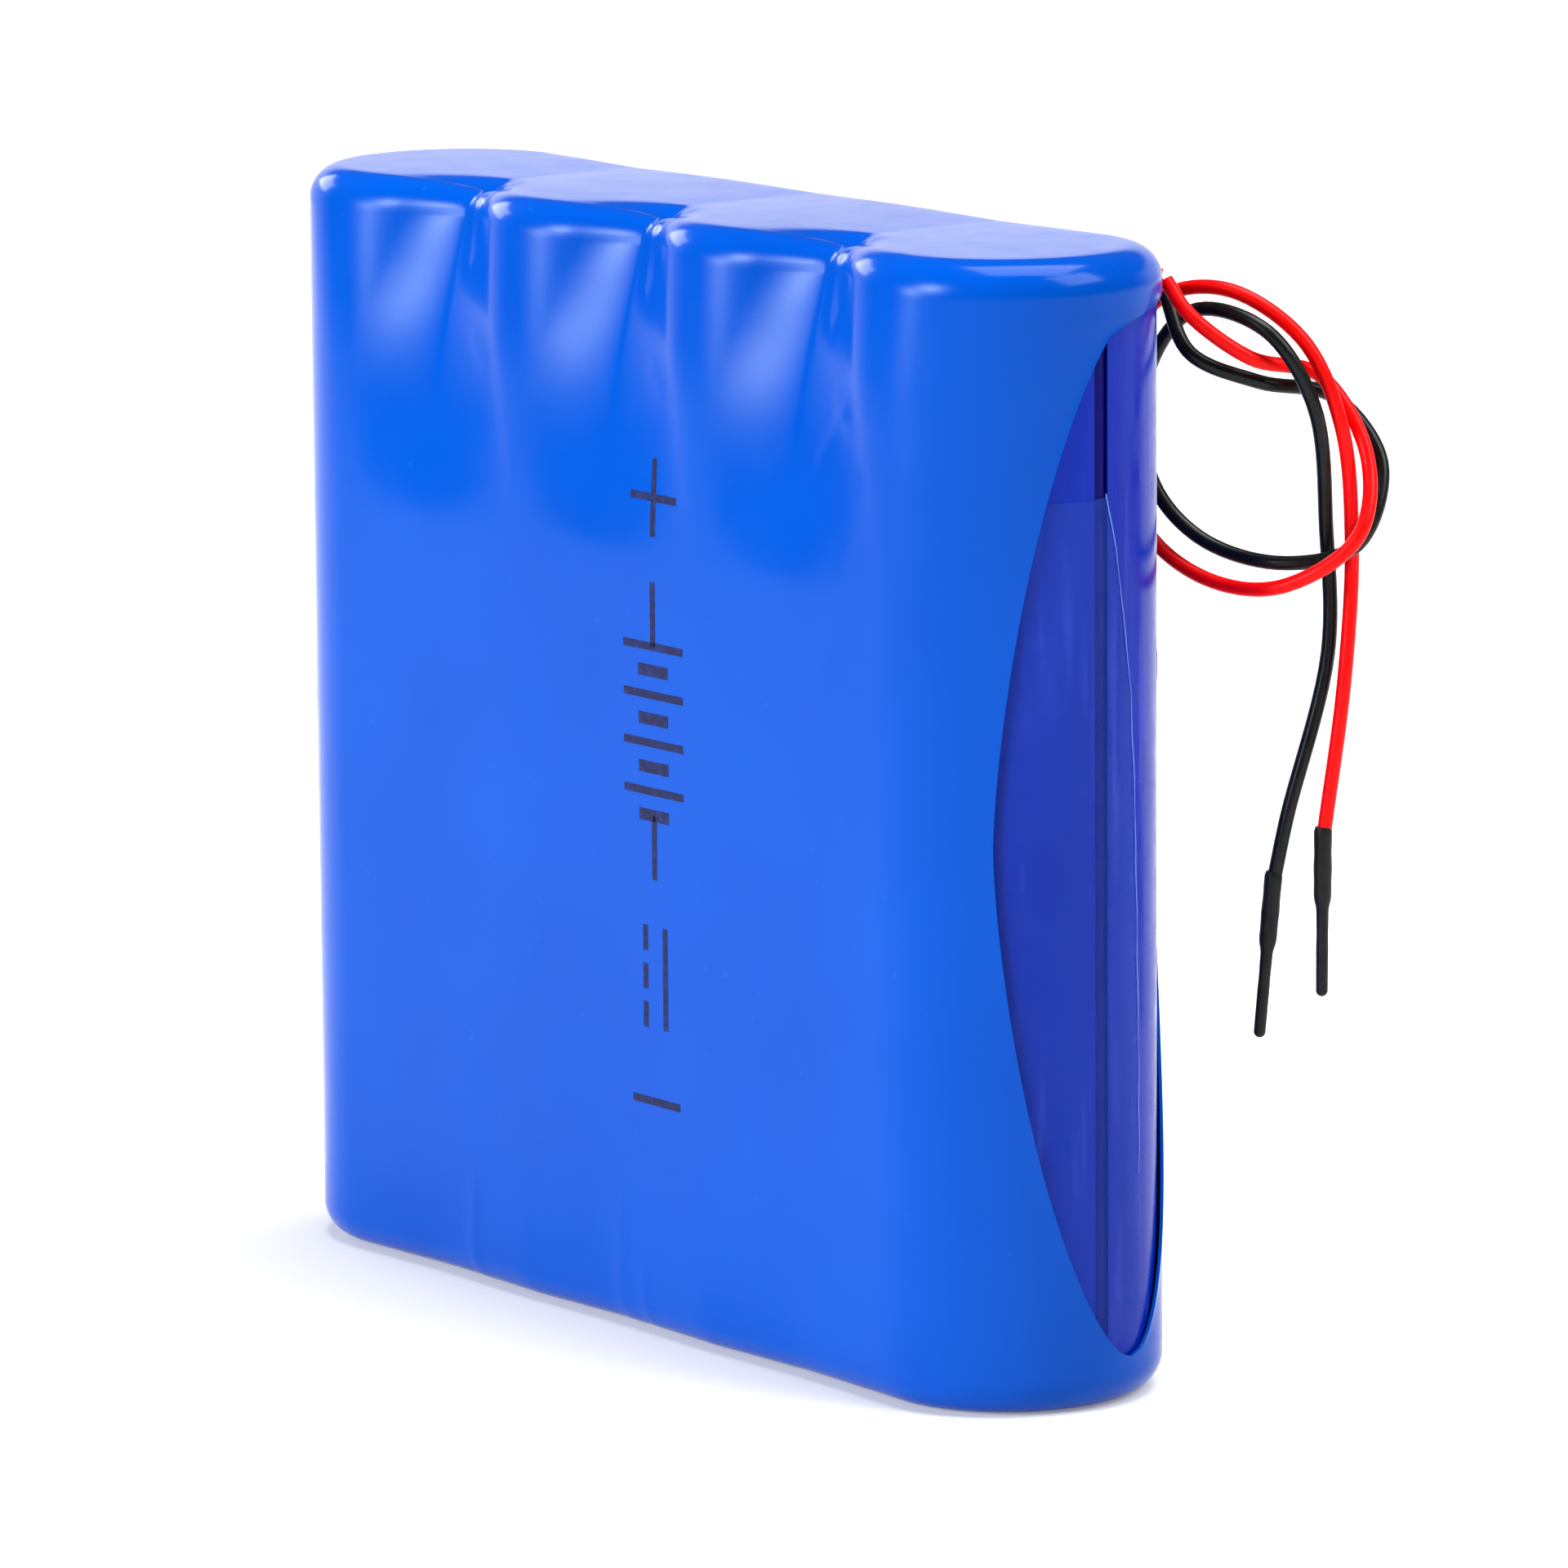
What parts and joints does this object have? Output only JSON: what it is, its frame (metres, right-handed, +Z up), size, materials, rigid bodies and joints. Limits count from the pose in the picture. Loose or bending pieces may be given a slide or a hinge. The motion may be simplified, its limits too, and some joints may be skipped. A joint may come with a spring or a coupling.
{
  "type": "battery pack",
  "caption": "Flat lithium-ion battery pack: a row of upright round cells in a blue shrink sleeve with lens-shaped end openings and a red and a black lead.",
  "frame": {"origin": "centre of the pack's box without its leads, on the surface that it stands on", "axes": "+X along the row of cells, towards the end that the leads leave; -Y the front face, +Y the back; +Z up, along the cells"},
  "size_m": [0.0782, 0.0299, 0.0695],
  "materials": {
    "sleeve_blue": "glossy shrunk PVC film",
    "film_violet": "glossy translucent film",
    "jacket_navy": "satin shrunk PVC",
    "cell_steel": "nickel-plated drawn steel",
    "cell_nickel": "nickel-plated, satin",
    "nickel_strip": "rolled nickel strip",
    "core_grey": "wound electrode foil and separator",
    "gasket_plastic": "moulded polypropylene",
    "washer_white": "white insulating paper",
    "barley_paper": "green barley paper",
    "foam_black": "closed-cell EVA foam",
    "glue": "hot-melt glue",
    "board_green": "solder-masked glass epoxy",
    "chip_black": "moulded epoxy",
    "chip_tan": "fired ceramic",
    "tape_amber": "polyimide tape",
    "lead_red_pvc": "satin PVC insulation",
    "lead_black_pvc": "satin PVC insulation",
    "tip_black": "shrink tube"
  },
  "bodies": {
    "root": {"bottom_pad": "foam_black", "bottom_paper": "barley_paper", "cell_1_can": "cell_steel", "cell_1_cap": "cell_nickel", "cell_1_core": "core_grey", "cell_1_gasket": "gasket_plastic", "cell_1_jacket": "jacket_navy", "cell_1_washer": "washer_white", "cell_2_can": "cell_steel", "cell_2_cap": "cell_nickel", "cell_2_core": "core_grey", "cell_2_gasket": "gasket_plastic", "cell_2_jacket": "jacket_navy", "cell_2_washer": "washer_white", "cell_3_can": "cell_steel", "cell_3_cap": "cell_nickel", "cell_3_core": "core_grey", "cell_3_gasket": "gasket_plastic", "cell_3_jacket": "jacket_navy", "cell_3_washer": "washer_white", "cell_4_can": "cell_steel", "cell_4_cap": "cell_nickel", "cell_4_core": "core_grey", "cell_4_gasket": "gasket_plastic", "cell_4_jacket": "jacket_navy", "cell_4_washer": "washer_white", "cell_glue_1": "glue", "cell_glue_2": "glue", "cell_glue_3": "glue", "inner_film": "film_violet", "lead_black": "lead_black_pvc", "lead_black_inside": "lead_black_pvc", "lead_black_tip": "tip_black", "lead_red": "lead_red_pvc", "lead_red_inside": "lead_red_pvc", "lead_red_tip": "tip_black", "lead_tape": "tape_amber", "nickel_b_minus": "nickel_strip", "nickel_b_plus": "nickel_strip", "nickel_mid": "nickel_strip", "outer_sleeve": "sleeve_blue", "pcm_board": "board_green", "pcm_capacitor": "chip_tan", "pcm_cover": "barley_paper", "pcm_ic": "chip_black", "pcm_mosfet_1": "chip_black", "pcm_mosfet_2": "chip_black", "pcm_resistor_1": "chip_tan", "pcm_resistor_2": "chip_tan", "seam_tape": "film_violet", "top_pad": "foam_black", "top_paper": "barley_paper"}
  },
  "joints": []
}
